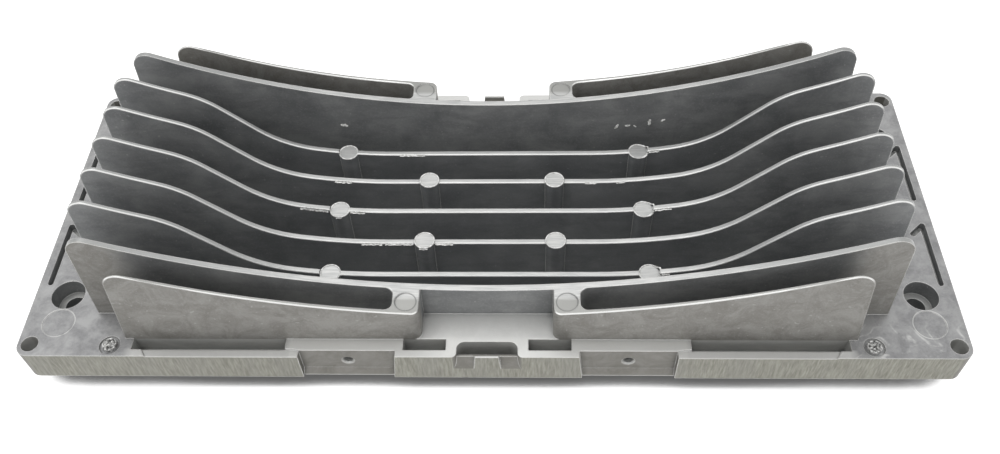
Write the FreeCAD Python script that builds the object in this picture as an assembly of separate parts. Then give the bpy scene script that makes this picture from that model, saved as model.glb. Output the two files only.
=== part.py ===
"""Finned die cast aluminium housing, one casting with a mounting flange, in millimetres.

X runs along the fins, Y across them, Z up. The origin is the middle of the belly's flat underside,
on which the casting rests. Heights called "above the flange" start at the flange's top face.
"""
import FreeCAD, Part
import math
import os
from FreeCAD import Vector

# ---- flange and belly ----
flange_length = 300.0
flange_depth = 116.0
flange_thickness = 12.6
flange_corner_radius = 4.0
belly_drop = 7.4
belly_flat_inset = 75.0
belly_top_inset = 44.0
belly_side_inset = 12.0
belly_side_draft = 22.0
belly_bend_radius = 12.0
belly_edge_radius = 3.0

# ---- fins ----
fin_draft = 0.5
fin_end_draft = 3.0
short_fin_end_draft = 5.0
fin_tip_radius = 5.0
fin_thickness = 2.0
tall_fin_thickness = 2.4
short_fin_thickness = 1.5
short_fin_draft = 1.5
land_bevel = 0.3
crown_radius = 300.0
crown_height = 12.9
inner_fin_end_inset = 20.0
tall_fin_end_inset = 23.1
short_fin_end_inset = 34.3
tall_fin_inset = 17.5
short_fin_face_inset = 6.6

# ---- the dip that lowers the inner fins in the middle ----
dip_height = 1.3
dip_upper_slope = 44.2
dip_lower_slope = 10.8
dip_knee_inset = 75.0
dip_straight = 1.0
dip_shoulder_radius = 30.0
dip_knee_radius = 38.0
dip_foot_radius = 150.0

# ---- channels between the fins ----
channel_floor_depth = 15.5
channel_flat_inset = 78.0
channel_top_inset = 42.0
channel_bend_radius = 10.0
channel_foot_draft = fin_draft

# ---- round bosses on the inner fins ----
boss_diameter = 6.8
boss_proud = 0.4
wide_boss_inset = 97.4
near_boss_spacing = 44.4

# ---- pads between the tall and the short fins ----
pad_spacing = 49.8
pad_length = 8.4
pad_corner_radius = 2.4
pad_mark_diameter = 6.6

# ---- holes in the flange ----
corner_hole_diameter = 5.5
corner_hole_inset_x = 3.95
corner_hole_inset_y = 4.4
screw_hole_diameter = 6.6
screw_head_diameter = 11.0
screw_head_depth = 6.5
screw_inset_x = 11.0
screw_inset_y = 23.3

# ---- ejector marks, gate stubs and grooves on the flange's top ----
mark_diameter = 10.4
mark_inset_x = 10.9
mark_inset_y = 12.4
mark_depth = 0.2
gate_diameter = 6.6
gate_core_diameter = 4.2
gate_dish_depth = 0.5
gate_core_height = 0.5
gate_inset_x = 30.0
gate_inset_y = 4.0
groove_width = 1.9
groove_depth = 3.0
groove_inset = 3.6
groove_length = 24.0
groove_hook = (3.9, 3.7)
groove_gap = 11.8

# ---- pockets and the thin rim beside the short fins ----
rim_thickness = 2.6
rim_step = 0.4
rim_run_out = 3.0
pocket_depth = 6.5
long_pocket_start = 63.8
long_pocket_end_inset = 37.2
small_pocket_start = 13.0
small_pocket_end = 26.5

# ---- recessed panels in the long edges, each with a threaded hole ----
panel_start = 28.9
panel_end = 59.5
panel_slant = 1.4
panel_depth = 2.35
panel_foot_depth = 0.85
panel_foot_height = 2.4
panel_hole_x = 44.5
panel_hole_drop = 6.0
panel_hole_diameter = 3.3
panel_hole_length = 10.0
panel_hole_chamfer = 0.45

# ---- notch with a tab in the middle of each long edge ----
notch_width = 19.2
notch_back_inset = 5.7
notch_corner_radius = 2.6
notch_mouth_radius = 1.7
notch_depth = 10.0
tab_top_width = 7.4
tab_foot_width = 9.0
tab_wall = 2.4
tab_drop = 0.2
tab_lip = 0.6
cheek_foot_drop = 7.3
cheek_top_drop = 2.3
cheek_set_back = 1.7

# ---- worked out from the values above ----
half_length = flange_length / 2
half_depth = flange_depth / 2
top_z = belly_drop + flange_thickness
floor_z = top_z - channel_floor_depth
tall_fin_y = half_depth - tall_fin_inset
fin_pitch = tall_fin_y / 3
short_fin_face = half_depth - short_fin_face_inset
crown_z = top_z + crown_height
dip_z = top_z + dip_height
dip_knee_x = half_length - dip_knee_inset

# ---- reach of cutters beyond the casting ----
clear_height = 60.0
far = 400.0
embed = 2.0
sky_z = top_z + clear_height


def tan(degrees):
    return math.tan(math.radians(degrees))


def corner_arc(before, corner, after, radius):
    """The arc that rounds one corner of an outline, as its two ends and its middle."""
    inward = (before - corner).normalize()
    outward = (after - corner).normalize()
    half_angle = inward.getAngle(outward) / 2
    reach = radius / math.tan(half_angle)
    axis = (inward + outward).normalize()
    centre = corner + axis * (radius / math.sin(half_angle))
    return corner + inward * reach, centre - axis * radius, corner + outward * reach


def outline(points, radii=None):
    """A closed wire through points, with a corner rounded where radii names its index."""
    radii = radii or {}
    count = len(points)
    edges = []
    starts = []
    ends = []
    for i, point in enumerate(points):
        if i in radii:
            first, middle, last = corner_arc(points[i - 1], point, points[(i + 1) % count], radii[i])
            edges.append(Part.Arc(first, middle, last).toShape())
            starts.append(first)
            ends.append(last)
        else:
            starts.append(point)
            ends.append(point)
    for i in range(count):
        following = starts[(i + 1) % count]
        if ends[i].distanceToPoint(following) > 1e-6:
            edges.append(Part.makeLine(ends[i], following))
    return Part.Wire(Part.__sortEdges__(edges))


def prism(points, direction, radii=None):
    return Part.Face(outline(points, radii)).extrude(direction)


def side_prism(points, y_from, y_to, radii=None):
    """An outline of (x, z) points carried along Y."""
    ring = [Vector(x, y_from, z) for x, z in points]
    return prism(ring, Vector(0, y_to - y_from, 0), radii)


def end_prism(points, x_from, x_to, radii=None):
    """An outline of (y, z) points carried along X."""
    ring = [Vector(x_from, y, z) for y, z in points]
    return prism(ring, Vector(x_to - x_from, 0, 0), radii)


def top_prism(points, z_from, z_to, radii=None):
    """An outline of (x, y) points carried along Z."""
    ring = [Vector(x, y, z_from) for x, y in points]
    return prism(ring, Vector(0, 0, z_to - z_from), radii)


def box(x_from, x_to, y_from, y_to, z_from, z_to):
    corner = Vector(x_from, y_from, z_from)
    return Part.makeBox(x_to - x_from, y_to - y_from, z_to - z_from, corner)


def rod(diameter, x, y, z_from, z_to):
    return Part.makeCylinder(diameter / 2, z_to - z_from, Vector(x, y, z_from))


def mirrored(shape, across_x=True, across_y=True):
    """The shape with its mirror images left to right and front to back."""
    shapes = [shape]
    if across_x:
        shapes += [s.mirror(Vector(0, 0, 0), Vector(1, 0, 0)) for s in shapes]
    if across_y:
        shapes += [s.mirror(Vector(0, 0, 0), Vector(0, 1, 0)) for s in shapes]
    return shapes


def edges_along_y(solid, x_range, z_above):
    """Edges parallel to Y whose distance from the middle is within x_range, above a height."""
    found = []
    for edge in solid.Edges:
        direction = edge.tangentAt(edge.FirstParameter)
        middle = edge.CenterOfMass
        level = abs(direction.y) > 0.99
        if level and x_range[0] < abs(middle.x) < x_range[1] and middle.z > z_above:
            found.append(edge)
    return found


def flange():
    """The flat flange with its four rounded corners."""
    block = box(-half_length, half_length, -half_depth, half_depth, belly_drop, top_z)
    uprights = [e for e in block.Edges if abs(e.tangentAt(0).z) > 0.99]
    return block.makeFillet(flange_corner_radius, uprights)


def belly():
    """The shallow pan below the flange, under the channels."""
    half_flat = half_length - belly_flat_inset
    half_top = half_length - belly_top_inset
    half_across = half_depth - belly_side_inset
    lean = belly_drop * tan(belly_side_draft)
    along = [(-half_top, belly_drop + embed), (-half_top, belly_drop), (-half_flat, 0),
             (half_flat, 0), (half_top, belly_drop), (half_top, belly_drop + embed)]
    across = [(-half_across, belly_drop + embed), (half_across, belly_drop + embed),
              (half_across - lean, 0), (lean - half_across, 0)]
    pan = side_prism(along, -half_across, half_across, {2: belly_bend_radius, 3: belly_bend_radius})
    return pan.common(end_prism(across, -far, far, {2: belly_edge_radius, 3: belly_edge_radius}))


def fin_mass(end_inset, end_draft, y_from, y_to, dipped):
    """Solid from which fins are parted: its side outline is that of the fins in it."""
    half_base = half_length - end_inset
    root_z = top_z - embed
    narrowing = clear_height * tan(end_draft)
    spread = embed * tan(end_draft)
    ring = [(-half_base - spread, root_z), (half_base + spread, root_z),
            (half_base - narrowing, sky_z), (narrowing - half_base, sky_z)]
    mass = side_prism(ring, y_from, y_to)
    crown_centre = Vector(0, y_from - embed, crown_z + crown_radius)
    crown = Part.makeCylinder(crown_radius, y_to - y_from + 2 * embed, crown_centre, Vector(0, 1, 0))
    mass = mass.cut(crown)
    tip_from = half_base - 2 * fin_tip_radius
    tips = edges_along_y(mass, (tip_from, half_base), crown_z + fin_tip_radius)
    mass = mass.makeFillet(fin_tip_radius, tips)
    if dipped:
        mass = mass.cut(dip(y_from - embed, y_to + embed))
        shoulders = edges_along_y(mass, (dip_knee_x, tip_from), crown_z + fin_tip_radius)
        mass = mass.makeFillet(dip_shoulder_radius, shoulders)
    return mass


def dip(y_from, y_to):
    """What is taken out of the inner fins' tops: a flat middle between two S-shaped flanks."""
    foot_reach = dip_foot_radius * tan(dip_lower_slope / 2)
    knee_reach = dip_knee_radius * tan((dip_upper_slope - dip_lower_slope) / 2)
    flank = foot_reach + dip_straight + knee_reach
    foot_x = dip_knee_x - flank * math.cos(math.radians(dip_lower_slope))
    knee_z = dip_z + flank * math.sin(math.radians(dip_lower_slope))
    over_x = dip_knee_x + (sky_z - knee_z) / tan(dip_upper_slope)
    right = [(foot_x, dip_z), (dip_knee_x, knee_z), (over_x, sky_z)]
    left = [(-x, z) for x, z in reversed(right)]
    radii = {0: dip_foot_radius, 1: dip_knee_radius, 4: dip_knee_radius, 5: dip_foot_radius}
    return side_prism(right + left, y_from, y_to, radii)


def channel(y_middle, clear_width, reference_z):
    """One channel between two fins, clear_width wide at reference_z, narrower towards its floor."""
    half_flat = half_length - channel_flat_inset
    half_top = half_length - channel_top_inset
    along = [(-far, sky_z), (-far, top_z), (-half_top, top_z), (-half_flat, floor_z),
             (half_flat, floor_z), (half_top, top_z), (far, top_z), (far, sky_z)]
    bends = {i: channel_bend_radius for i in (2, 3, 4, 5)}
    half_foot = clear_width / 2 - (reference_z - floor_z) * tan(channel_foot_draft)
    half_mouth = clear_width / 2 + (sky_z - reference_z) * tan(channel_foot_draft)
    across = [(y_middle - half_foot, floor_z), (y_middle + half_foot, floor_z),
              (y_middle + half_mouth, sky_z), (y_middle - half_mouth, sky_z)]
    length_cut = side_prism(along, y_middle - fin_pitch, y_middle + fin_pitch, bends)
    return length_cut.common(end_prism(across, -far, far))


def inner_channels():
    """The six channels between the tall fins and the five inner fins."""
    clear = fin_pitch - fin_thickness
    cutters = [channel((i + 0.5) * fin_pitch, clear, dip_z) for i in range(-3, 3)]
    return cutters


def tall_fin_masses():
    """The two full-length tall fins, drafted on their outer face only: channels shape the inner one."""
    outer_half = tall_fin_thickness / 2
    face = tall_fin_y + outer_half
    foot = face + (crown_height + embed) * tan(fin_draft)
    peak = face - (sky_z - crown_z) * tan(fin_draft)
    inner = tall_fin_y - fin_pitch / 2
    mass = fin_mass(tall_fin_end_inset, fin_end_draft, inner, foot + embed, False)
    across = [(inner, top_z - embed), (foot, top_z - embed), (peak, sky_z), (inner, sky_z)]
    return mirrored(mass.common(end_prism(across, -far, far)), across_x=False)


def short_fins():
    """Four short fins, each with the pad that joins it to the tall fin beside it."""
    root_z = top_z - embed
    mass = fin_mass(short_fin_end_inset, short_fin_end_draft, tall_fin_y, short_fin_face + embed, False)
    outer = end_prism([(tall_fin_y, root_z), (short_fin_face + embed * tan(short_fin_draft), root_z),
                       (short_fin_face - (sky_z - top_z) * tan(short_fin_draft), sky_z),
                       (tall_fin_y, sky_z)], 0, far)
    mass = mass.common(outer)
    pad_inner = (pad_spacing - pad_length) / 2
    pad_outer = (pad_spacing + pad_length) / 2
    land_y = short_fin_face - crown_height * tan(short_fin_draft) - short_fin_thickness
    slot_inner_y = tall_fin_y + tall_fin_thickness / 2
    foot = land_y - crown_height * tan(fin_draft)
    peak = land_y + (sky_z - crown_z) * tan(fin_draft)
    slot_across = [(slot_inner_y + crown_height * tan(fin_draft), top_z), (foot, top_z),
                   (peak, sky_z), (slot_inner_y - (sky_z - crown_z) * tan(fin_draft), sky_z)]
    slot = end_prism(slot_across, pad_outer, far)
    slot = slot.makeFillet(pad_corner_radius, upright_edges(slot, pad_outer))
    gap = box(-far, pad_inner, tall_fin_y, far, root_z, sky_z)
    fin = mass.cut(slot).cut(gap)
    outer_corner = [e for e in upright_edges(fin, pad_inner) if e.CenterOfMass.y > slot_inner_y]
    fin = fin.makeFillet(pad_corner_radius, outer_corner)
    return mirrored(bevelled(fin, slot_inner_y - land_bevel, far))


def upright_edges(solid, x):
    """Long edges that rise steeply at a distance x from the middle."""
    found = []
    for edge in solid.Edges:
        middle = edge.CenterOfMass
        rise = abs(edge.tangentAt(edge.FirstParameter).z)
        if rise > 0.9 and abs(middle.x - x) < 0.01:
            found.append(edge)
    return found


def boss_places():
    """Ten places, wide apart on every second inner fin and near together on the fins between."""
    places = []
    for i in range(-2, 3):
        x = near_boss_spacing / 2 if i % 2 else half_length - wide_boss_inset
        places += [(-x, i * fin_pitch), (x, i * fin_pitch)]
    return places


def bosses():
    """Round columns that stand in the channel floors and stiffen the inner fins."""
    boss_z = dip_z + boss_proud
    return [rod(boss_diameter, x, y, floor_z - embed, boss_z) for x, y in boss_places()]


def boss_tops():
    """What is cleared above each boss, so that its flat top stands just proud of the dip."""
    return [rod(boss_diameter, x, y, dip_z + boss_proud, sky_z) for x, y in boss_places()]


def bevelled(solid, y_from, y_to):
    """The solid with its fins' top and end faces bevelled, between two distances from the middle."""
    faces = [face for face in solid.Faces if is_land(face) or is_fin_end(face)]
    borders = []
    for face in faces:
        for edge in face.Edges:
            neighbours = [other for other in faces if any(edge.isSame(e) for e in other.Edges)]
            middle = edge.CenterOfMass
            if len(neighbours) == 1 and middle.z > top_z + land_bevel and y_from < abs(middle.y) < y_to:
                borders.append(edge)
    return solid.makeChamfer(land_bevel, borders)


def middle_normal(face):
    u_from, u_to, v_from, v_to = face.ParameterRange
    return face.normalAt((u_from + u_to) / 2, (v_from + v_to) / 2)


def is_land(face):
    """True for a face that belongs to the top of a fin or a pad."""
    normal = middle_normal(face)
    return face.BoundBox.ZMin > dip_z - land_bevel and abs(normal.z) > 0.1 and abs(normal.y) < 0.1


def is_fin_end(face):
    """True for a fin's narrow upright end."""
    box_around = face.BoundBox
    stands_on_flange = box_around.ZMin > top_z - land_bevel and box_around.ZMax > crown_z
    return stands_on_flange and box_around.YLength < fin_pitch / 2 and abs(middle_normal(face).x) > 0.9


def pad_marks():
    """Sunk ejector marks on the four pads."""
    y = (tall_fin_y + tall_fin_thickness / 2 + short_fin_face) / 2
    z = crown_z + crown_radius - math.sqrt(crown_radius ** 2 - (pad_spacing / 2) ** 2)
    return mirrored(rod(pad_mark_diameter, pad_spacing / 2, y, z - mark_depth, sky_z))


def fastening_holes():
    """Corner holes and counterbored screw holes through the flange."""
    x = half_length - corner_hole_inset_x
    y = half_depth - corner_hole_inset_y
    corner_hole = rod(corner_hole_diameter, x, y, -embed, sky_z)
    x = half_length - screw_inset_x
    y = half_depth - screw_inset_y
    head = rod(screw_head_diameter, x, y, top_z - screw_head_depth, sky_z)
    screw_hole = rod(screw_hole_diameter, x, y, -embed, sky_z).fuse(head)
    return mirrored(corner_hole) + mirrored(screw_hole)


def flange_marks():
    """Round ejector marks beside the corner holes."""
    x = half_length - mark_inset_x
    y = half_depth - mark_inset_y
    return mirrored(rod(mark_diameter, x, y, top_z - mark_depth, sky_z))


def gate_dishes_and_cores():
    """Two broken gate stubs on the front: a shallow dish and the stub left standing in it."""
    dishes = []
    cores = []
    y = gate_inset_y - half_depth
    for side in (-1, 1):
        x = side * (half_length - gate_inset_x)
        dishes.append(rod(gate_diameter, x, y, top_z - gate_dish_depth, sky_z))
        cores.append(rod(gate_core_diameter, x, y, top_z - embed, top_z + gate_core_height))
    return dishes, cores


def groove(y_corner):
    """A narrow hooked groove beside a short edge, its hook at the back end."""
    x = half_length - groove_inset
    half = groove_width / 2
    run = box(x - half, x + half, y_corner - groove_length, y_corner, top_z - groove_depth, sky_z)
    end = rod(groove_width, x, y_corner - groove_length, top_z - groove_depth, sky_z)
    turn = rod(groove_width, x, y_corner, top_z - groove_depth, sky_z)
    across, back = groove_hook
    reach = math.hypot(across, back)
    hook = box(0, reach, -half, half, top_z - groove_depth, sky_z)
    tip = rod(groove_width, reach, 0, top_z - groove_depth, sky_z)
    hook = hook.fuse(tip)
    hook.rotate(Vector(0, 0, 0), Vector(0, 0, 1), 180 + math.degrees(math.atan2(back, across)))
    hook.translate(Vector(x, y_corner, 0))
    return run.fuse([end, turn, hook])


def grooves():
    """Two grooves along each short edge."""
    front_corner = -groove_gap / 2
    back_corner = groove_gap / 2 + groove_length
    return mirrored(groove(front_corner), across_y=False) + mirrored(groove(back_corner), across_y=False)


def pockets():
    """Pockets between the short fins' outer faces and the rim, two long and two small a side."""
    outer = half_depth - rim_thickness
    low = top_z - pocket_depth
    across = [(short_fin_face, sky_z), (short_fin_face, top_z),
              (short_fin_face + pocket_depth * tan(short_fin_draft), low), (outer, low), (outer, sky_z)]
    long_pocket_end = half_length - long_pocket_end_inset
    long_pocket = end_prism(across, long_pocket_start, long_pocket_end)
    small_pocket = end_prism(across, small_pocket_start, small_pocket_end)
    shelf_y = outer - rim_step
    shelf = [(long_pocket_start, shelf_y), (long_pocket_end - rim_run_out, shelf_y),
             (long_pocket_end - 2 * rim_run_out, half_depth + embed), (panel_end, half_depth + embed),
             (panel_end, outer)]
    lowered = top_prism(shelf, top_z - rim_step, top_z + embed)
    found = []
    for cutter in (long_pocket, small_pocket, lowered):
        found += mirrored(cutter)
    return found


def panels():
    """Recessed panels with one slanted end and a threaded hole each."""
    face = half_depth - panel_depth
    foot_face = half_depth - panel_foot_depth
    across = [(half_depth + embed, top_z + embed), (face, top_z + embed),
              (face, belly_drop + panel_foot_height), (foot_face, belly_drop),
              (foot_face, belly_drop - embed), (half_depth + embed, belly_drop - embed)]
    along = [(panel_start, top_z + embed), (panel_end, top_z + embed), (panel_end, belly_drop - embed),
             (panel_start + panel_slant, belly_drop - embed), (panel_start, top_z)]
    recess = end_prism(across, 0, far).common(side_prism(along, 0, far))
    hole_z = top_z - panel_hole_drop
    start = Vector(panel_hole_x, half_depth, hole_z)
    inward = Vector(0, -1, 0)
    hole = Part.makeCylinder(panel_hole_diameter / 2, panel_depth + panel_hole_length, start, inward)
    wide = panel_hole_diameter / 2 + panel_hole_chamfer
    mouth = Part.makeCone(wide, wide - panel_hole_chamfer, panel_hole_chamfer,
                          Vector(panel_hole_x, face, hole_z), inward)
    return mirrored(recess.fuse([hole, mouth]))


def notch():
    """A notch open to the long edge. A wall closes its mouth low down and carries a thin flush tab."""
    half = notch_width / 2
    half_mouth = half + 2 * notch_mouth_radius
    notch_back = half_depth - notch_back_inset
    low = top_z - notch_depth
    plan = [(-half, notch_back), (half, notch_back), (half, half_depth), (half_mouth, half_depth),
            (half_mouth, half_depth + embed), (-half_mouth, half_depth + embed),
            (-half_mouth, half_depth), (-half, half_depth)]
    radii = {0: notch_corner_radius, 1: notch_corner_radius, 2: notch_mouth_radius, 7: notch_mouth_radius}
    opening = top_prism(plan, low, sky_z, radii)
    inner_y = half_depth - tab_wall
    cheek_top = top_z - cheek_top_drop
    slope_top = (half_depth - cheek_set_back, cheek_top)
    cheeks = end_prism([(inner_y, low), (half_depth, low), (half_depth, top_z - cheek_foot_drop),
                        slope_top, (inner_y, cheek_top)], -half_mouth, half_mouth)
    tab_top = top_z - tab_drop
    tab_ring = [(-tab_foot_width / 2, low), (tab_foot_width / 2, low),
                (tab_top_width / 2, tab_top), (-tab_top_width / 2, tab_top)]
    tab = end_prism([(inner_y, low), (half_depth, low), (half_depth, tab_top),
                     (half_depth - tab_lip, tab_top), slope_top, (inner_y, cheek_top)],
                    -half_mouth, half_mouth)
    tab = tab.common(side_prism(tab_ring, inner_y, half_depth))
    return opening.cut(cheeks.fuse(tab))


def housing():
    """The whole casting as one solid."""
    outer_channel_y = 2.5 * fin_pitch
    inner = fin_mass(inner_fin_end_inset, fin_end_draft, -outer_channel_y, outer_channel_y, True)
    body = flange().fuse([belly(), inner] + tall_fin_masses())
    body = bevelled(body.cut(inner_channels()).removeSplitter(), 0, outer_channel_y)
    body = body.fuse(short_fins() + bosses())
    dishes, cores = gate_dishes_and_cores()
    cutters = fastening_holes() + flange_marks() + pad_marks() + grooves()
    cutters += boss_tops() + pockets() + panels() + dishes
    cutters += mirrored(notch(), across_x=False)
    body = body.cut(cutters).fuse(cores)
    return body.removeSplitter()


os.makedirs("parts", exist_ok=True)
casting = housing()
assert casting.isValid()
assert len(casting.Solids) == 1
casting.Solids[0].exportStep("parts/housing.step")
box_size = casting.BoundBox
print("size", round(box_size.XLength, 2), round(box_size.YLength, 2), round(box_size.ZLength, 2))
print("volume_cm3", round(casting.Volume / 1000, 1), "faces", len(casting.Faces))
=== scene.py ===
import math
import random

import bmesh
import bpy
from mathutils import Matrix, Vector


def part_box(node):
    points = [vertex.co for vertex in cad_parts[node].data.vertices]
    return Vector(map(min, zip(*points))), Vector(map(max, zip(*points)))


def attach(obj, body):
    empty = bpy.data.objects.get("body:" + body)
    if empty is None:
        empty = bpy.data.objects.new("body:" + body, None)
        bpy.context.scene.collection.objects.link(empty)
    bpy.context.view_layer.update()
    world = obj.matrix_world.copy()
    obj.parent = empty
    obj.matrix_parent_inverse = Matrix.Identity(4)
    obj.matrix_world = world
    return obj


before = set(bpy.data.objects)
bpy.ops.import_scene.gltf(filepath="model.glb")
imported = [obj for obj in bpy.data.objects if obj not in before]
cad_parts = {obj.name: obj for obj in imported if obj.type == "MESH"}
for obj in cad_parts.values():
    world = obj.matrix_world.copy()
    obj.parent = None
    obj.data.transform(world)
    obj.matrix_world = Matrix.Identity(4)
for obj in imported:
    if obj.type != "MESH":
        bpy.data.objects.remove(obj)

bl_info = {
    "name": "Die cast housing finish",
    "version": (1, 0, 0),
    "blender": (4, 5, 0),
    "location": "3D View > Sidebar > Housing",
    "description": "Finishes, casting flash, broken gates and threads for a finned die cast housing",
    "category": "Object",
}

MM = 0.001
LOW, HIGH = (Vector(corner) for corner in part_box("housing"))

# Sizes of the casting that its finish, its flash and its threads follow, in millimetres.
HALF_LENGTH = HIGH.x / MM
HALF_DEPTH = HIGH.y / MM
FLANGE_TOP = 20.0
FIN_PITCH = 13.5
LOW_LAND = 21.3
DIP_FLAT = 34.7
DIP_FOOT_RADIUS = 150.0
BOSS_RADIUS = 3.4
BOSS_TOP = 21.7
NEAR_BOSS_X = 22.2
WIDE_BOSS_X = 52.6
EDGE_HOLE_X = 44.5
EDGE_HOLE_HEIGHT = 14.0
EDGE_HOLE_RADIUS = 1.65
PANEL_DEPTH = 2.35
GATE_X = 120.0
GATE_INSET = 4.0
GATE_CORE_RADIUS = 2.1
PAD_MARK_X = 24.9
PAD_MARK_Y = 46.55
PAD_MARK_RADIUS = 3.3
FLANGE_MARK_X = 139.1
FLANGE_MARK_Y = 45.6
FLANGE_MARK_RADIUS = 5.2

# Where the finish changes, in millimetres from the casting's middle along X or across Y.
# A soft band starts at each of these places.
CHANNELS_X = 115.0
CHANNELS_Y = 38.8
FIN_ENDS_X = 105.0
FIN_ENDS_Y = HALF_DEPTH - 17.0
OUTER_FINS_Y = HALF_DEPTH - 13.5
PANEL_STRIPS_X = 66.0
PANEL_STRIPS_Y = HALF_DEPTH - 8.0
HOLLOWS_Y = HALF_DEPTH - 7.5
RIM_X = 115.0
RIM_Y = HALF_DEPTH - 3.2
PANELS_Y = HALF_DEPTH - PANEL_DEPTH - 0.1
LAND_ENDS_X = 55.0
RIPPLES_X = 98.0
RIPPLES_Y = -44.0

# How far in from the outer edges a face still counts as sheared, in millimetres.
SHEARED_DEPTH = 0.12

# The studio, in metres, apart from the sensor's width in millimetres.
FLOOR_SIZE = 6.0
FLOOR_GAP = 0.0003
SHADOW_REACH = 0.014
KEY_PLACE = (-0.35, 0.1, 1.3)
KEY_LENGTH = 1.6
KEY_WIDTH = 1.0
SENSOR_WIDTH = 36


# ---- properties ----

class HousingFinishes(bpy.types.PropertyGroup):
    """Colours and grain of the casting's surfaces."""
    grain_size: bpy.props.FloatProperty(
        name="Grain size", description="Width of the skin's fine grain, in millimetres",
        default=0.7, min=0.1, max=5.0)
    mottle_size: bpy.props.FloatProperty(
        name="Mottle size", description="Width of the skin's darker patches, in millimetres",
        default=18.0, min=2.0, max=60.0)
    trim_pitch: bpy.props.FloatProperty(
        name="Trim mark pitch", description="Spacing of the trim press's marks, in millimetres",
        default=0.7, min=0.3, max=5.0)
    # Width of the pale band on edges, partly burnished metal and partly painted highlight; it also sets how
    # far the shading normals are rounded.
    edge_wear_and_highlight_width: bpy.props.FloatProperty(
        name="Edge wear", description="Width of the burnished band on edges",
        subtype="DISTANCE", unit="LENGTH", default=0.0005, min=0.0, max=0.002)


class HousingFlash(bpy.types.PropertyGroup):
    """Thin metal left along the die's parting lines, and the pitch of the threads."""
    thickness: bpy.props.FloatProperty(
        name="Flash thickness", description="Thickness of the slivers that hang from the fins",
        subtype="DISTANCE", unit="LENGTH", default=0.00028, min=0.00002, max=0.001)
    ring_radius: bpy.props.FloatProperty(
        name="Ring radius", description="Radius of the section of the thin ring round each boss",
        subtype="DISTANCE", unit="LENGTH", default=0.00024, min=0.00005, max=0.0006)
    thread_pitch: bpy.props.FloatProperty(
        name="Thread pitch", description="Pitch of the threads in the edge holes",
        subtype="DISTANCE", unit="LENGTH", default=0.0007, min=0.0002, max=0.002)


class HousingStudio(bpy.types.PropertyGroup):
    """Camera and lights."""
    focal_length: bpy.props.FloatProperty(
        name="Focal length", description="Camera lens, in millimetres on a 36 mm wide frame",
        default=34.643, min=10.0, max=200.0)
    camera_place: bpy.props.FloatVectorProperty(
        name="Camera place", description="Where the camera stands",
        subtype="TRANSLATION", unit="LENGTH", size=3, default=(0.01316, -0.21079, 0.27992))
    camera_turn: bpy.props.FloatVectorProperty(
        name="Camera turn", description="Camera rotation about X, Y and Z",
        subtype="EULER", unit="ROTATION", size=3,
        default=(math.radians(37.809), math.radians(1.564), math.radians(1.143)))
    camera_shift: bpy.props.FloatVectorProperty(
        name="Camera shift", description="Lens shift, as a share of the frame's width",
        size=2, default=(0.00367, 0.00648))
    sky_level: bpy.props.FloatProperty(
        name="Sky level", description="Strength of the even light from all round",
        default=0.8, min=0.0, max=5.0)
    key_power: bpy.props.FloatProperty(
        name="Key light", description="Power of the large soft lamp above",
        unit="POWER", default=5.0, min=0.0, max=500.0)


# ---- materials ----

def linear(hex_colour):
    """Linear RGBA of an sRGB hex colour such as 9A9B98."""
    channels = [int(hex_colour[i:i + 2], 16) / 255 for i in (0, 2, 4)]
    return [c / 12.92 if c <= 0.04045 else ((c + 0.055) / 1.055) ** 2.4 for c in channels] + [1.0]


def add_node(tree, kind, inputs=None, **settings):
    """A new node with its settings, and its inputs set to values or linked to other nodes' outputs."""
    node = tree.nodes.new(kind)
    for name, value in settings.items():
        setattr(node, name, value)
    for name, value in (inputs or {}).items():
        if isinstance(value, bpy.types.NodeSocket):
            tree.links.new(value, node.inputs[name])
        else:
            node.inputs[name].default_value = value
    return node


def blank_material(name):
    """A material with an empty node tree."""
    material = bpy.data.materials.new(name)
    material.use_nodes = True
    material.node_tree.nodes.clear()
    return material


# Sockets of a colour Mix node and of a number Mix node: factor, first and second input, and result.
COLOUR_MIX = (0, 6, 7, 2)
NUMBER_MIX = (0, 2, 3, 0)


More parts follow.
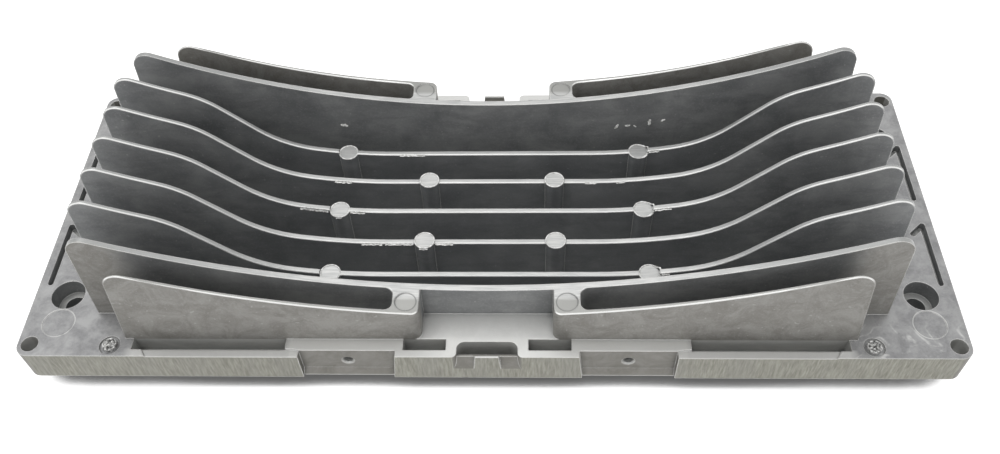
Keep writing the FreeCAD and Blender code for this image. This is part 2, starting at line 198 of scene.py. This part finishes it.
def die_cast_aluminium():
    """Die cast aluminium alloy, as it leaves the mould and the trim press.

    Cast skin: dull and mottled, with painted shade darkest in the channels' middle and painted light where
    it
    faces up. Flange top: even grey, scuffed, with ripples near one corner where the metal met. Lands: paler,
    streaked along the fins, with painted highlights on their chamfers. Edges are painted bright, partly as
    wear and partly as painted highlight, and inside corners carry painted shade. Outer edges: sheared by the
    trim press, so they carry fine upright tear marks and look slightly yellow. Ejector pins leave thin round
    outlines.
    """
    finishes = bpy.context.scene.housing_finishes
    material = blank_material("die_cast_aluminium")
    tree = material.node_tree

    def mix(sockets, data_type, *values):
        node = add_node(tree, "ShaderNodeMix", dict(zip(sockets, values)), data_type=data_type)
        return node.outputs[sockets[3]]

    def blend(factor, *colours):
        """Turns the first colour into the second. Each is a socket or an sRGB hex colour."""
        pair = [linear(colour) if isinstance(colour, str) else colour for colour in colours]
        return mix(COLOUR_MIX, "RGBA", factor, *pair)

    def number(factor, a, b):
        return mix(NUMBER_MIX, "FLOAT", factor, a, b)

    def maths(operation, *values):
        inputs = dict(enumerate(values))
        return add_node(tree, "ShaderNodeMath", inputs, operation=operation).outputs[0]

    def times(first, *others):
        """The product of two or more values."""
        product = first
        for other in others:
            product = maths("MULTIPLY", product, other)
        return product

    def remap(value, low, high, to_low=0.0, to_high=1.0):
        return add_node(tree, "ShaderNodeMapRange", {
            "Value": value, "From Min": low, "From Max": high,
            "To Min": to_low, "To Max": to_high}).outputs[0]

    def past(value, border, band, to_low=0.0, to_high=1.0):
        """Changes over a soft band from a border. A band below zero lies before the border."""
        return remap(value, border, border + band, to_low, to_high)

    def noise(vector, size_mm, detail=3.0, roughness=0.55, distortion=0.0):
        return add_node(tree, "ShaderNodeTexNoise", {
            "Vector": vector, "Scale": 1 / size_mm, "Detail": detail,
            "Roughness": roughness, "Distortion": distortion}).outputs["Fac"]

    def stretched(factors):
        inputs = {0: in_mm, 1: factors}
        return add_node(tree, "ShaderNodeVectorMath", inputs, operation="MULTIPLY").outputs[0]

    def ring_line(x, y, radius):
        """A thin circle round a place and round its three mirror images."""
        across = maths("SUBTRACT", length, x)
        along = maths("SUBTRACT", depth, y)
        reach = maths("SQRT", maths("ADD", times(across, across), times(along, along)))
        return remap(maths("ABSOLUTE", maths("SUBTRACT", reach, radius)), 0.1, 0.3, 1.0, 0.0)

    # Places in millimetres. Length and depth are distances from the casting's middle planes.
    place = add_node(tree, "ShaderNodeTexCoord").outputs["Object"]
    scaled = {0: place, "Scale": 1 / MM}
    in_mm = add_node(tree, "ShaderNodeVectorMath", scaled, operation="SCALE").outputs[0]
    xyz = add_node(tree, "ShaderNodeSeparateXYZ", {0: in_mm})
    length = maths("ABSOLUTE", xyz.outputs["X"])
    depth = maths("ABSOLUTE", xyz.outputs["Y"])
    height = xyz.outputs["Z"]
    geometry = add_node(tree, "ShaderNodeNewGeometry")
    face_normal = geometry.outputs["True Normal"]
    facing = add_node(tree, "ShaderNodeSeparateXYZ", {0: face_normal})
    upward = remap(facing.outputs["Z"], 0.35, 0.6)

    # Rounded normals find the edges, convex and concave: where they leave the face's own normal, the edge is
    # painted pale, partly as burnished metal and partly as painted highlight.
    rounded = add_node(tree, "ShaderNodeBevel", {"Radius": finishes.edge_wear_and_highlight_width}, samples=5).outputs[0]
    agreement = add_node(
        tree, "ShaderNodeVectorMath", {0: rounded, 1: face_normal}, operation="DOT_PRODUCT").outputs["Value"]
    edge_wear_and_highlight = remap(agreement, 0.99, 0.84)

    # Cast skin: patches, streaks along the metal's flow, warm stains outside and fine grain.
    patches = noise(in_mm, finishes.mottle_size, detail=4.0, roughness=0.6, distortion=0.5)
    streaks = noise(stretched((0.45, 1.0, 1.3)), 8.0, detail=6.0, roughness=0.68, distortion=0.6)
    stains = noise(in_mm, 9.0, detail=6.0, roughness=0.74, distortion=1.0)
    grain = noise(in_mm, finishes.grain_size, detail=3.0, roughness=0.7)
    specks = noise(in_mm, 1.1, detail=0.0)
    fin_ends = times(past(depth, FIN_ENDS_Y, 0.5), past(length, FIN_ENDS_X, 9.0))
    outside = maths("MAXIMUM", past(depth, OUTER_FINS_Y, 1.5), fin_ends)
    channel_painted_shade = times(past(depth, CHANNELS_Y, -1.8), past(length, CHANNELS_X, -55.0, 0.0, 0.42))
    skin = blend(remap(patches, 0.35, 0.65), "828485", "A0A1A1")
    skin = blend(remap(streaks, 0.45, 0.66, 0.0, 0.5), skin, "707173")
    stained = blend(remap(stains, 0.4, 0.6), "A4A19B", "89857D")
    skin = blend(times(outside, 0.7), skin, stained)
    skin = blend(remap(grain, 0.5, 0.75, 0.0, 0.35), skin, "B4B5B4")
    skin = blend(remap(specks, 0.79, 0.86, 0.0, 0.35), skin, "CFCFCD")
    # Painted shade: the skin is darkened towards the channels' middle, where shade falls.
    skin = blend(channel_painted_shade, skin, "595C60")

    # Painted light: skin that faces up is painted paler, as if it catches more light, and so are the
    # hollows' walls.
    lit_shelf_paint = blend(remap(streaks, 0.4, 0.65), "BBBCBA", "D0D0CD")
    lit_hollow_walls = times(past(depth, HOLLOWS_Y, 0.5), past(height, FLANGE_TOP - 0.1, -0.3))
    colour = blend(maths("MAXIMUM", upward, times(lit_hollow_walls, 0.75)), skin, lit_shelf_paint)

    # Panels sunk into the long edges, with the cast skin's stains.
    panel = blend(remap(stains, 0.4, 0.6), "817F79", "918F8A")
    colour = blend(past(depth, PANELS_Y, 0.05), colour, panel)

    # Flange top: even, with faint scuffs, brighter on the strips by the panels and on the rims.
    scuffs = noise(in_mm, 6.0, detail=7.0, roughness=0.65, distortion=0.3)
    near_flange = times(past(height, FLANGE_TOP - 0.7, 0.2), past(height, FLANGE_TOP + 0.6, 0.1, 1.0, 0.0))
    is_flange = times(upward, near_flange)
    by_panels = times(past(length, PANEL_STRIPS_X, -4.0), past(depth, PANEL_STRIPS_Y, 1.5, 0.7, 0.85))
    rim = times(past(length, RIM_X, -3.0), past(depth, RIM_Y, 0.6, 0.0, 0.7))
    top = blend(remap(scuffs, 0.36, 0.64), "8A8A8B", "A8A8A8")
    top = blend(remap(grain, 0.4, 0.7, 0.0, 0.2), top, "B9BABA")
    top = blend(maths("MAXIMUM", by_panels, rim), top, "DEDEDB")
    colour = blend(is_flange, colour, top)

    # Lands of the fins, pads and bosses. Their chamfers carry painted highlights: bright on those that face
    # the front, weaker on those that face the back.
    land_streaks = noise(stretched((0.12, 1.6, 0.5)), 1.0, detail=4.0, roughness=0.65)
    is_land = times(upward, past(height, LOW_LAND - 0.6, 0.2))
    front_edge_highlight = times(is_land, remap(facing.outputs["Y"], -0.3, -0.5))
    rear_edge_highlight = times(is_land, remap(facing.outputs["Y"], 0.3, 0.5))
    land = blend(remap(land_streaks, 0.35, 0.65), "AFB0AF", "CBCBC9")
    land = blend(past(length, LAND_ENDS_X, 40.0, 0.0, 0.8), land, "999A99")
    land = blend(outside, land, "9F9F9C")
    colour = blend(is_land, colour, land)
    # Painted highlights on the lands' front and rear chamfers.
    colour = blend(front_edge_highlight, colour, "EFEFED")
    colour = blend(times(rear_edge_highlight, 0.6), colour, "CFCFCD")

    # Sheared outer edges: fine upright tear marks.
    tears = noise(stretched((1.0, 1.0, 0.11)), finishes.trim_pitch, detail=3.0, roughness=0.7)
    broad_tears = noise(stretched((1.0, 1.0, 0.02)), 9.0, detail=2.0)
    at_long = past(depth, HALF_DEPTH - SHEARED_DEPTH, SHEARED_DEPTH / 2)
    at_short = past(length, HALF_LENGTH - SHEARED_DEPTH, SHEARED_DEPTH / 2)
    is_sheared = times(maths("MAXIMUM", at_long, at_short), remap(upward, 0.0, 0.4, 1.0, 0.0))
    sheared = blend(remap(tears, 0.3, 0.7), "7D7C71", "ABAAA0")
    sheared = blend(remap(broad_tears, 0.4, 0.65, 0.0, 0.4), sheared, "93928C")
    colour = blend(is_sheared, colour, sheared)

    # Painted highlight, partly real wear, on every edge and inside corner.
    colour = blend(times(edge_wear_and_highlight, 0.85), colour, "F0F0ED")

    # Ripples of cold metal in the flange's right front corner: level lines of a slow pattern.
    swirl = noise(stretched((0.6, 1.3, 0.0)), 15.0, detail=2.0, roughness=0.45, distortion=0.8)
    level_lines = remap(maths("SINE", times(swirl, 60.0)), 0.55, 1.0)
    near_corner = times(past(xyz.outputs["X"], RIPPLES_X, 14.0), past(xyz.outputs["Y"], RIPPLES_Y, -6.0))
    ripples = times(level_lines, remap(scuffs, 0.45, 0.6), near_corner, is_flange)
    colour = blend(times(ripples, 0.8), colour, "D2D2D0")

    # Ejector pins leave a dark outline on the pads and a pale one on the flange.
    pad_ring = times(ring_line(PAD_MARK_X, PAD_MARK_Y, PAD_MARK_RADIUS), is_land, 0.6)
    colour = blend(pad_ring, colour, "5F605F")
    flange_ring = times(ring_line(FLANGE_MARK_X, FLANGE_MARK_Y, FLANGE_MARK_RADIUS), is_flange)
    colour = blend(times(flange_ring, remap(scuffs, 0.42, 0.55, 0.2, 0.85)), colour, "E2E2E0")

    # Painted shade: inside corners are darkened by ambient occlusion.
    occlusion_for_shade = add_node(tree, "ShaderNodeAmbientOcclusion", {"Distance": 2.2 * MM}, samples=4)
    colour = blend(remap(occlusion_for_shade.outputs["AO"], 0.8, 0.45, 0.0, 0.5), colour, "4E4F50")

    bare = maths("MAXIMUM", is_land, edge_wear_and_highlight)
    rough = number(remap(patches, 0.3, 0.7), 0.5, 0.62)
    rough = number(is_flange, rough, remap(scuffs, 0.4, 0.6, 0.52, 0.44))
    rough = number(bare, rough, 0.38)
    rough = number(is_sheared, rough, 0.52)
    metal = number(bare, 0.45, 0.8)
    metal = number(is_flange, metal, 0.55)

    relief = number(is_sheared, times(streaks, 0.35), times(tears, 0.35))
    relief = maths("ADD", relief, times(ripples, 0.3))
    wide_bump = add_node(tree, "ShaderNodeBump", {
        "Height": relief, "Strength": 0.5, "Distance": 0.3 * MM, "Normal": rounded})
    fine_bump = add_node(tree, "ShaderNodeBump", {
        "Height": grain, "Strength": 0.3, "Distance": 0.1 * MM, "Normal": wide_bump.outputs[0]})

    shader = add_node(tree, "ShaderNodeBsdfPrincipled", {
        "Base Color": colour, "Metallic": metal, "Roughness": rough, "Normal": fine_bump.outputs[0]})
    add_node(tree, "ShaderNodeOutputMaterial", {"Surface": shader.outputs[0]})
    return material


def torn_aluminium(name, dark, pale, relief_depth):
    """Bare aluminium where it tore, was pinched thin or was cut: bright, with small facets."""
    material = blank_material(name)
    tree = material.node_tree
    place = add_node(tree, "ShaderNodeTexCoord").outputs["Object"]
    crystals = add_node(tree, "ShaderNodeTexVoronoi", {"Vector": place, "Scale": 1 / (0.5 * MM)})
    patches = add_node(tree, "ShaderNodeTexNoise", {"Vector": place, "Scale": 1 / (0.9 * MM), "Detail": 4.0})
    factor = add_node(tree, "ShaderNodeMapRange", {
        "Value": patches.outputs["Fac"], "From Min": 0.38, "From Max": 0.6})
    colour = add_node(tree, "ShaderNodeValToRGB", {"Fac": factor.outputs[0]})
    colour.color_ramp.elements[0].color = linear(dark)
    colour.color_ramp.elements[1].color = linear(pale)
    bump = add_node(tree, "ShaderNodeBump", {
        "Height": crystals.outputs["Distance"], "Strength": 0.5, "Distance": relief_depth})
    shader = add_node(tree, "ShaderNodeBsdfPrincipled", {
        "Base Color": colour.outputs["Color"], "Metallic": 0.35, "Roughness": 0.4,
        "Normal": bump.outputs[0]})
    add_node(tree, "ShaderNodeOutputMaterial", {"Surface": shader.outputs[0]})
    return material


def seen_white(tree):
    """1 for what is seen directly, in a mirror or through glass, and 0 for light on surfaces."""
    path = add_node(tree, "ShaderNodeLightPath")
    direct = add_node(tree, "ShaderNodeMath", {
        0: path.outputs["Is Camera Ray"], 1: path.outputs["Is Glossy Ray"]}, operation="ADD")
    seen = add_node(tree, "ShaderNodeMath", {
        0: direct.outputs[0], 1: path.outputs["Is Transmission Ray"]}, operation="ADD", use_clamp=True)
    return seen.outputs[0]


def white_floor():
    """Matt white paper sweep. It is white wherever the object's shadow doesn't reach; that shadow is
    painted, by fading the paper's glow with ambient occlusion near the object, over the paper's own diffuse
    shade.
    """
    material = blank_material("white_paper_floor")
    tree = material.node_tree
    occlusion_for_shade = add_node(tree, "ShaderNodeAmbientOcclusion", {"Distance": SHADOW_REACH}, samples=24)
    # Painted shadow: the glow fades where ambient occlusion finds the object close by.
    glow_less_painted_shadow = add_node(tree, "ShaderNodeMapRange", {
        "Value": occlusion_for_shade.outputs["AO"], "From Min": 0.53, "From Max": 0.64, "To Max": 0.95})
    strength = add_node(tree, "ShaderNodeMath", {
        0: glow_less_painted_shadow.outputs[0], 1: seen_white(tree)}, operation="MULTIPLY")
    paper = add_node(tree, "ShaderNodeBsdfDiffuse", {"Color": linear("B4B4B4")})
    light = add_node(tree, "ShaderNodeEmission", {
        "Color": (1, 1, 1, 1), "Strength": strength.outputs[0]})
    both = add_node(tree, "ShaderNodeAddShader", {0: paper.outputs[0], 1: light.outputs[0]})
    add_node(tree, "ShaderNodeOutputMaterial", {"Surface": both.outputs[0]})
    return material


def studio_sky(level):
    """Even soft light from all round, white where it is seen."""
    world = bpy.data.worlds.new("studio_sky")
    world.use_nodes = True
    tree = world.node_tree
    tree.nodes.clear()
    strength = add_node(tree, "ShaderNodeMapRange", {
        "Value": seen_white(tree), "To Min": level, "To Max": 1.0})
    sky = add_node(tree, "ShaderNodeBackground", {
        "Color": (1, 1, 1, 1), "Strength": strength.outputs[0]})
    add_node(tree, "ShaderNodeOutputWorld", {"Surface": sky.outputs[0]})
    return world


# ---- modelling helpers ----

def start_edit():
    """Goes to edit mode with every vertex of the active piece selected."""
    bpy.ops.object.mode_set(mode="EDIT")
    bpy.ops.mesh.select_mode(type="VERT")
    bpy.ops.mesh.select_all(action="SELECT")


def pick(test):
    """Selects the vertices whose place passes a test, in edit mode."""
    bpy.ops.mesh.select_all(action="DESELECT")
    shape = bmesh.from_edit_mesh(bpy.context.object.data)
    for vertex in shape.verts:
        vertex.select = test(vertex.co)
    shape.select_flush_mode()
    bmesh.update_edit_mesh(bpy.context.object.data)


def finish_piece(name, material, smooth_angle=50.0):
    """Names the active object, gives it its finish and fixes it to the casting."""
    bpy.ops.object.mode_set(mode="OBJECT")
    bpy.ops.object.transform_apply(location=True, rotation=True, scale=True)
    bpy.ops.object.shade_smooth_by_angle(angle=math.radians(smooth_angle))
    piece = bpy.context.object
    piece.name = name
    piece.data.name = name
    piece.data.materials.clear()
    piece.data.materials.append(material)
    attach(piece, "root")
    return piece


def copy_piece(piece, name, place):
    """A copy with its own mesh, moved by a matrix that is applied to the mesh."""
    twin = piece.copy()
    twin.data = piece.data.copy()
    twin.data.transform(place)
    twin.name = name
    twin.data.name = name
    bpy.context.collection.objects.link(twin)
    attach(twin, "root")
    return twin


def spread(piece, stem, places):
    """Copies a piece to all of its places but the first, where the piece itself is moved."""
    for number, place in enumerate(places[1:], start=2):
        copy_piece(piece, "%s_%d" % (stem, number), place)
    piece.data.transform(places[0])


def boss_places():
    """Where the ten bosses stand, in millimetres."""
    places = []
    for fin in range(-2, 3):
        x = NEAR_BOSS_X if fin % 2 else WIDE_BOSS_X
        places += [(-x, fin * FIN_PITCH), (x, fin * FIN_PITCH)]
    return places


def land_height(x):
    """Height of the inner fins' lands at a distance x from the middle, up to about 65 mm."""
    return LOW_LAND + max(0.0, abs(x) - DIP_FLAT) ** 2 / (2 * DIP_FOOT_RADIUS)


# ---- operators ----

class HOUSING_OT_casting(bpy.types.Operator):
    """Give the casting its finish"""
    bl_idname = "housing.casting"
    bl_label = "Casting finish"

    def execute(self, context):
        material = die_cast_aluminium()
        for material_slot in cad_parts["housing"].material_slots:
            material_slot.material = material
        torn_aluminium("flash_aluminium", dark="CFCFCC", pale="FAFAF8", relief_depth=0.02 * MM)
        torn_aluminium("fractured_aluminium", dark="5C5C5A", pale="F0F0EE", relief_depth=0.3 * MM)
        torn_aluminium("thread_aluminium", dark="8A8A88", pale="C4C4C2", relief_depth=0.02 * MM)
        return {"FINISHED"}


# Burrs of a ragged ring: where along Y, half their width, how far out and how far up, in millimetres.
RING_BURRS = ((1.3, 0.5, 0.45, 0.55), (-0.6, 0.4, 0.6, 0.1))
# Turn between one even ring and the next, in radians.
RING_TURN = 1.3


def boss_ring(radius, ragged):
    """A ring of flash at the origin. A ragged one is torn outwards on its right side."""
    bpy.ops.object.select_all(action="DESELECT")
    bpy.ops.mesh.primitive_torus_add(
        major_radius=(BOSS_RADIUS - 0.1) * MM, minor_radius=radius, major_segments=80, minor_segments=8)
    start_edit()
    bpy.ops.transform.vertex_random(offset=0.05 * MM, uniform=0.2, normal=0.3, seed=4)
    if ragged:
        pick(lambda co: co.x > BOSS_RADIUS * 0.55 * MM)
        bpy.ops.transform.translate(value=(0.22 * MM, 0, 0.1 * MM))
        bpy.ops.transform.vertex_random(offset=0.3 * MM, uniform=0.3, normal=0.2, seed=9)
        for y, half_width, out, up in RING_BURRS:
            pick(lambda co: co.x > BOSS_RADIUS * 0.7 * MM and abs(co.y - y * MM) < half_width * MM)
            bpy.ops.transform.translate(value=(out * MM, 0, up * MM))
    return finish_piece("boss_flash", bpy.data.materials["flash_aluminium"])


class HOUSING_OT_boss_rings(bpy.types.Operator):
    """Rings of flash round the tops of the ten bosses"""
    bl_idname = "housing.boss_rings"
    bl_label = "Boss flash rings"

    def execute(self, context):
        radius = context.scene.housing_flash.ring_radius
        rings = {ragged: boss_ring(radius, ragged) for ragged in (False, True)}
        for number, (x, y) in enumerate(boss_places(), start=1):
            ragged = x > 2 * NEAR_BOSS_X
            place = Matrix.Translation((x * MM, y * MM, BOSS_TOP * MM))
            turn = Matrix.Rotation(0.0 if ragged else number * RING_TURN, 4, "Z")
            copy_piece(rings[ragged], "boss_flash_%d" % number, place @ turn)
        for ring in rings.values():
            bpy.data.objects.remove(ring)
        return {"FINISHED"}


# How far in front of a fin's middle plane a sliver hangs, in millimetres.
IN_FRONT = {"fin": 1.1, "boss": 3.35}

# Slivers that hang from front edges: fin row counted from the middle fin towards the back,
# from x, to x and droop in millimetres, fullness, and what they hang on.
SLIVERS = (
    (2, -33.8, -24.6, 0.5, 0.4, "fin"), (1, -55.8, -49.8, 0.9, 0.5, "fin"),
    (0, -66.0, -56.4, 1.3, 0.8, "fin"), (0, -49.0, -43.8, 1.1, 0.4, "fin"),
    (-1, -43.6, -36.5, 0.9, 0.5, "fin"), (-1, -35.5, -26.0, 0.8, 0.4, "fin"),
    (-1, -18.5, -12.5, 0.9, 0.4, "fin"), (0, 56.4, 62.0, 1.0, 0.5, "fin"),
    (2, 56.5, 60.0, 1.1, 0.5, "fin"), (-2, 56.4, 59.0, 0.9, 0.6, "fin"),
    (1, 33.0, 37.0, 0.5, 0.4, "fin"), (-1, -23.8, -21.0, 0.7, 0.6, "boss"),
    (0, -53.6, -51.8, 0.5, 0.7, "boss"), (1, 44.0, 47.0, 0.4, 0.4, "fin"),
)


def sliver_strip(run, droop, fullness, seed):
    """A flat ragged strip at the origin, left in edit mode.

    Each column of the strip is drawn up by its own amount, which leaves beads and gaps.
    """
    chance = random.Random(seed)
    columns = max(8, int(run * 2.5))
    bpy.ops.object.select_all(action="DESELECT")
    bpy.ops.mesh.primitive_grid_add(x_subdivisions=columns, y_subdivisions=3, size=1.0)
    bpy.context.object.scale = (run * MM, droop * MM, MM)
    bpy.ops.object.transform_apply(location=False, rotation=False, scale=True)
    start_edit()
    near = 0.5 * run / columns * MM
    for column in range(columns + 1):
        at = (column / columns - 0.5) * run * MM
        lift = 0.85 * droop * (1 - fullness * chance.random() ** 0.5) * MM
        pick(lambda co: abs(co.x - at) < near and co.y < -0.3 * droop * MM)
        bpy.ops.transform.translate(value=(0, lift, 0.3 * chance.random() * MM))
    bpy.ops.mesh.select_all(action="SELECT")
    bpy.ops.transform.vertex_random(offset=0.07 * MM, uniform=0.2, normal=0.2, seed=seed)


class HOUSING_OT_slivers(bpy.types.Operator):
    """Thin ragged slivers of flash along the inner fins' front edges"""
    bl_idname = "housing.slivers"
    bl_label = "Fin flash"

    def execute(self, context):
        for number, (fin, x_from, x_to, droop, fullness, host) in enumerate(SLIVERS, start=1):
            run = x_to - x_from
            middle = (x_from + x_to) / 2
            sliver_strip(run, droop, fullness, number)
            bpy.ops.object.mode_set(mode="OBJECT")
            bpy.ops.object.modifier_add(type="SOLIDIFY")
            context.object.modifiers["Solidify"].thickness = context.scene.housing_flash.thickness
            bpy.ops.object.modifier_apply(modifier="Solidify")
            on_boss = host == "boss"
            top = BOSS_TOP if on_boss else land_height(middle)
            rise = 0.0 if on_boss else land_height(x_to) - land_height(x_from)
            y = fin * FIN_PITCH - IN_FRONT[host]
            strip = context.object
            strip.rotation_euler = (math.radians(78), -math.atan2(rise, run), 0)
            strip.location = (middle * MM, y * MM, (top - 0.45 * droop) * MM)
            finish_piece("fin_flash_%d" % number, bpy.data.materials["flash_aluminium"], 40.0)
        return {"FINISHED"}


# Chips of metal stuck on the rear tall fin's front face: x, height and width in millimetres.
CHIPS = ((-55.6, 23.3, 2.3), (45.8, 21.9, 2.0), (49.8, 22.2, 1.7), (52.4, 21.8, 1.2), (57.4, 23.6, 2.5),
         (62.2, 24.9, 1.4))
# The chips' middles lie just in front of that face.
CHIP_Y = 39.45
# Turn between one chip and the next, in radians. The first isn't turned.
CHIP_TURN = 0.9


class HOUSING_OT_chips(bpy.types.Operator):
    """Small chips of metal stuck to the rear tall fin"""
    bl_idname = "housing.chips"
    bl_label = "Stuck chips"

    def execute(self, context):
        bpy.ops.object.select_all(action="DESELECT")
        bpy.ops.mesh.primitive_ico_sphere_add(subdivisions=3, radius=0.5 * MM)
        context.object.scale = (1.0, 0.25, 0.45)
        bpy.ops.object.transform_apply(location=False, rotation=False, scale=True)
        start_edit()
        bpy.ops.transform.vertex_random(offset=0.12 * MM, uniform=0.5, normal=0.0, seed=11)
        pick(lambda co: co.x > 0.3 * MM)
        bpy.ops.transform.translate(value=(0.15 * MM, 0, -0.22 * MM))
        chip = finish_piece("stuck_chip_1", bpy.data.materials["flash_aluminium"], 25.0)
        places = []
        for number, (x, z, width) in enumerate(CHIPS, start=1):
            turn = Matrix.Rotation(number * CHIP_TURN if number > 1 else 0.0, 4, "Y")
            place = Matrix.Translation((x * MM, CHIP_Y * MM, z * MM))
            places.append(place @ turn @ Matrix.Scale(width, 4))
        spread(chip, "stuck_chip", places)
        return {"FINISHED"}


# The two gates: side, name, seed of the torn face, and how ragged it is in millimetres.
GATES = ((-1, "gate_stub_left", 3, 0.35), (1, "gate_stub_right", 8, 0.6))


class HOUSING_OT_gates(bpy.types.Operator):
    """Torn ends of the two broken gates on the flange's front corners"""
    bl_idname = "housing.gates"
    bl_label = "Broken gates"

    def execute(self, context):
        for side, name, seed, ragged in GATES:
            place = (side * GATE_X * MM, (GATE_INSET - HALF_DEPTH) * MM, (FLANGE_TOP + 0.15) * MM)
            bpy.ops.object.select_all(action="DESELECT")
            bpy.ops.mesh.primitive_cylinder_add(
                vertices=40, radius=(GATE_CORE_RADIUS + 0.15) * MM, depth=0.9 * MM, location=place)
            start_edit()
            pick(lambda co: co.z > 0)
            bpy.ops.mesh.inset(thickness=0.35 * MM)
            bpy.ops.mesh.inset(thickness=0.5 * MM)
            bpy.ops.mesh.poke()
            bpy.ops.mesh.subdivide(number_cuts=2)
            bpy.ops.transform.vertex_random(offset=ragged * MM, uniform=0.15, normal=0.3, seed=seed)
            finish_piece(name, bpy.data.materials["fractured_aluminium"], 20.0)
        return {"FINISHED"}


class HOUSING_OT_threads(bpy.types.Operator):
    """Threads in the four edge holes"""
    bl_idname = "housing.threads"
    bl_label = "Edge hole threads"

    def execute(self, context):
        pitch = context.scene.housing_flash.thread_pitch
        bpy.ops.object.select_all(action="DESELECT")
        bpy.ops.mesh.primitive_circle_add(vertices=3, radius=0.36 * pitch, fill_type="NGON")
        start_edit()
        bpy.ops.transform.translate(value=((EDGE_HOLE_RADIUS + 0.1) * MM, 0, 0))
        bpy.ops.object.mode_set(mode="OBJECT")
        bpy.ops.object.modifier_add(type="SCREW")
        thread = context.object.modifiers["Screw"]
        thread.axis = "Y"
        thread.screw_offset = pitch
        thread.iterations = 9
        thread.steps = 24
        thread.render_steps = 24
        bpy.ops.object.modifier_apply(modifier="Screw")
        helix = finish_piece("edge_hole_thread_1", bpy.data.materials["thread_aluminium"], 35.0)
        mouth = HALF_DEPTH - PANEL_DEPTH - 0.6
        places = []
        for face, turn in ((-1, 0.0), (1, math.pi)):
            for side in (-1, 1):
                hole = (side * EDGE_HOLE_X * MM, face * mouth * MM, EDGE_HOLE_HEIGHT * MM)
                places.append(Matrix.Translation(hole) @ Matrix.Rotation(turn, 4, "Z"))
        spread(helix, "edge_hole_thread", places)
        return {"FINISHED"}


class HOUSING_OT_studio(bpy.types.Operator):
    """Set up the floor, the lights, the sky and the camera"""
    bl_idname = "housing.studio"
    bl_label = "Studio"

    def execute(self, context):
        studio = context.scene.housing_studio
        bpy.ops.object.select_all(action="DESELECT")
        bpy.ops.mesh.primitive_plane_add(size=FLOOR_SIZE, location=(0, 0, LOW.z - FLOOR_GAP))
        floor = context.object
        floor.name = "floor"
        floor.data.materials.append(white_floor())

        key = bpy.data.lights.new("key", "AREA")
        key.shape = "RECTANGLE"
        key.size = KEY_LENGTH
        key.size_y = KEY_WIDTH
        key.energy = studio.key_power
        lamp = bpy.data.objects.new("key", key)
        lamp.location = KEY_PLACE
        lamp.rotation_euler = (-lamp.location).to_track_quat("-Z", "Y").to_euler()
        context.collection.objects.link(lamp)

        camera_data = bpy.data.cameras.new("camera")
        camera_data.sensor_width = SENSOR_WIDTH
        camera_data.lens = studio.focal_length
        camera_data.shift_x, camera_data.shift_y = studio.camera_shift
        camera_data.clip_start = 0.01
        camera = bpy.data.objects.new("camera", camera_data)
        camera.location = studio.camera_place
        camera.rotation_euler = studio.camera_turn
        context.collection.objects.link(camera)
        context.scene.camera = camera

        context.scene.world = studio_sky(studio.sky_level)
        context.scene.view_settings.view_transform = "Standard"
        return {"FINISHED"}


class HOUSING_PT_panel(bpy.types.Panel):
    """Sizes, finishes and steps of the housing"""
    bl_label = "Housing"
    bl_idname = "HOUSING_PT_panel"
    bl_space_type = "VIEW_3D"
    bl_region_type = "UI"
    bl_category = "Housing"

    def draw(self, context):
        scene = context.scene
        for group in (scene.housing_finishes, scene.housing_flash, scene.housing_studio):
            for name in group.__annotations__:
                self.layout.prop(group, name)
        for step in STEPS:
            self.layout.operator(step.bl_idname)


STEPS = (HOUSING_OT_casting, HOUSING_OT_boss_rings, HOUSING_OT_slivers, HOUSING_OT_chips,
         HOUSING_OT_gates, HOUSING_OT_threads, HOUSING_OT_studio)
CLASSES = (HousingFinishes, HousingFlash, HousingStudio) + STEPS + (HOUSING_PT_panel,)


def register():
    for cls in CLASSES:
        bpy.utils.register_class(cls)
    bpy.types.Scene.housing_finishes = bpy.props.PointerProperty(type=HousingFinishes)
    bpy.types.Scene.housing_flash = bpy.props.PointerProperty(type=HousingFlash)
    bpy.types.Scene.housing_studio = bpy.props.PointerProperty(type=HousingStudio)


def unregister():
    del bpy.types.Scene.housing_studio
    del bpy.types.Scene.housing_flash
    del bpy.types.Scene.housing_finishes
    for cls in reversed(CLASSES):
        bpy.utils.unregister_class(cls)


def main():
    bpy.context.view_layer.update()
    register()
    bpy.ops.housing.casting()
    bpy.ops.housing.boss_rings()
    bpy.ops.housing.slivers()
    bpy.ops.housing.chips()
    bpy.ops.housing.gates()
    bpy.ops.housing.threads()
    bpy.ops.housing.studio()


if __name__ == "__main__":
    main()
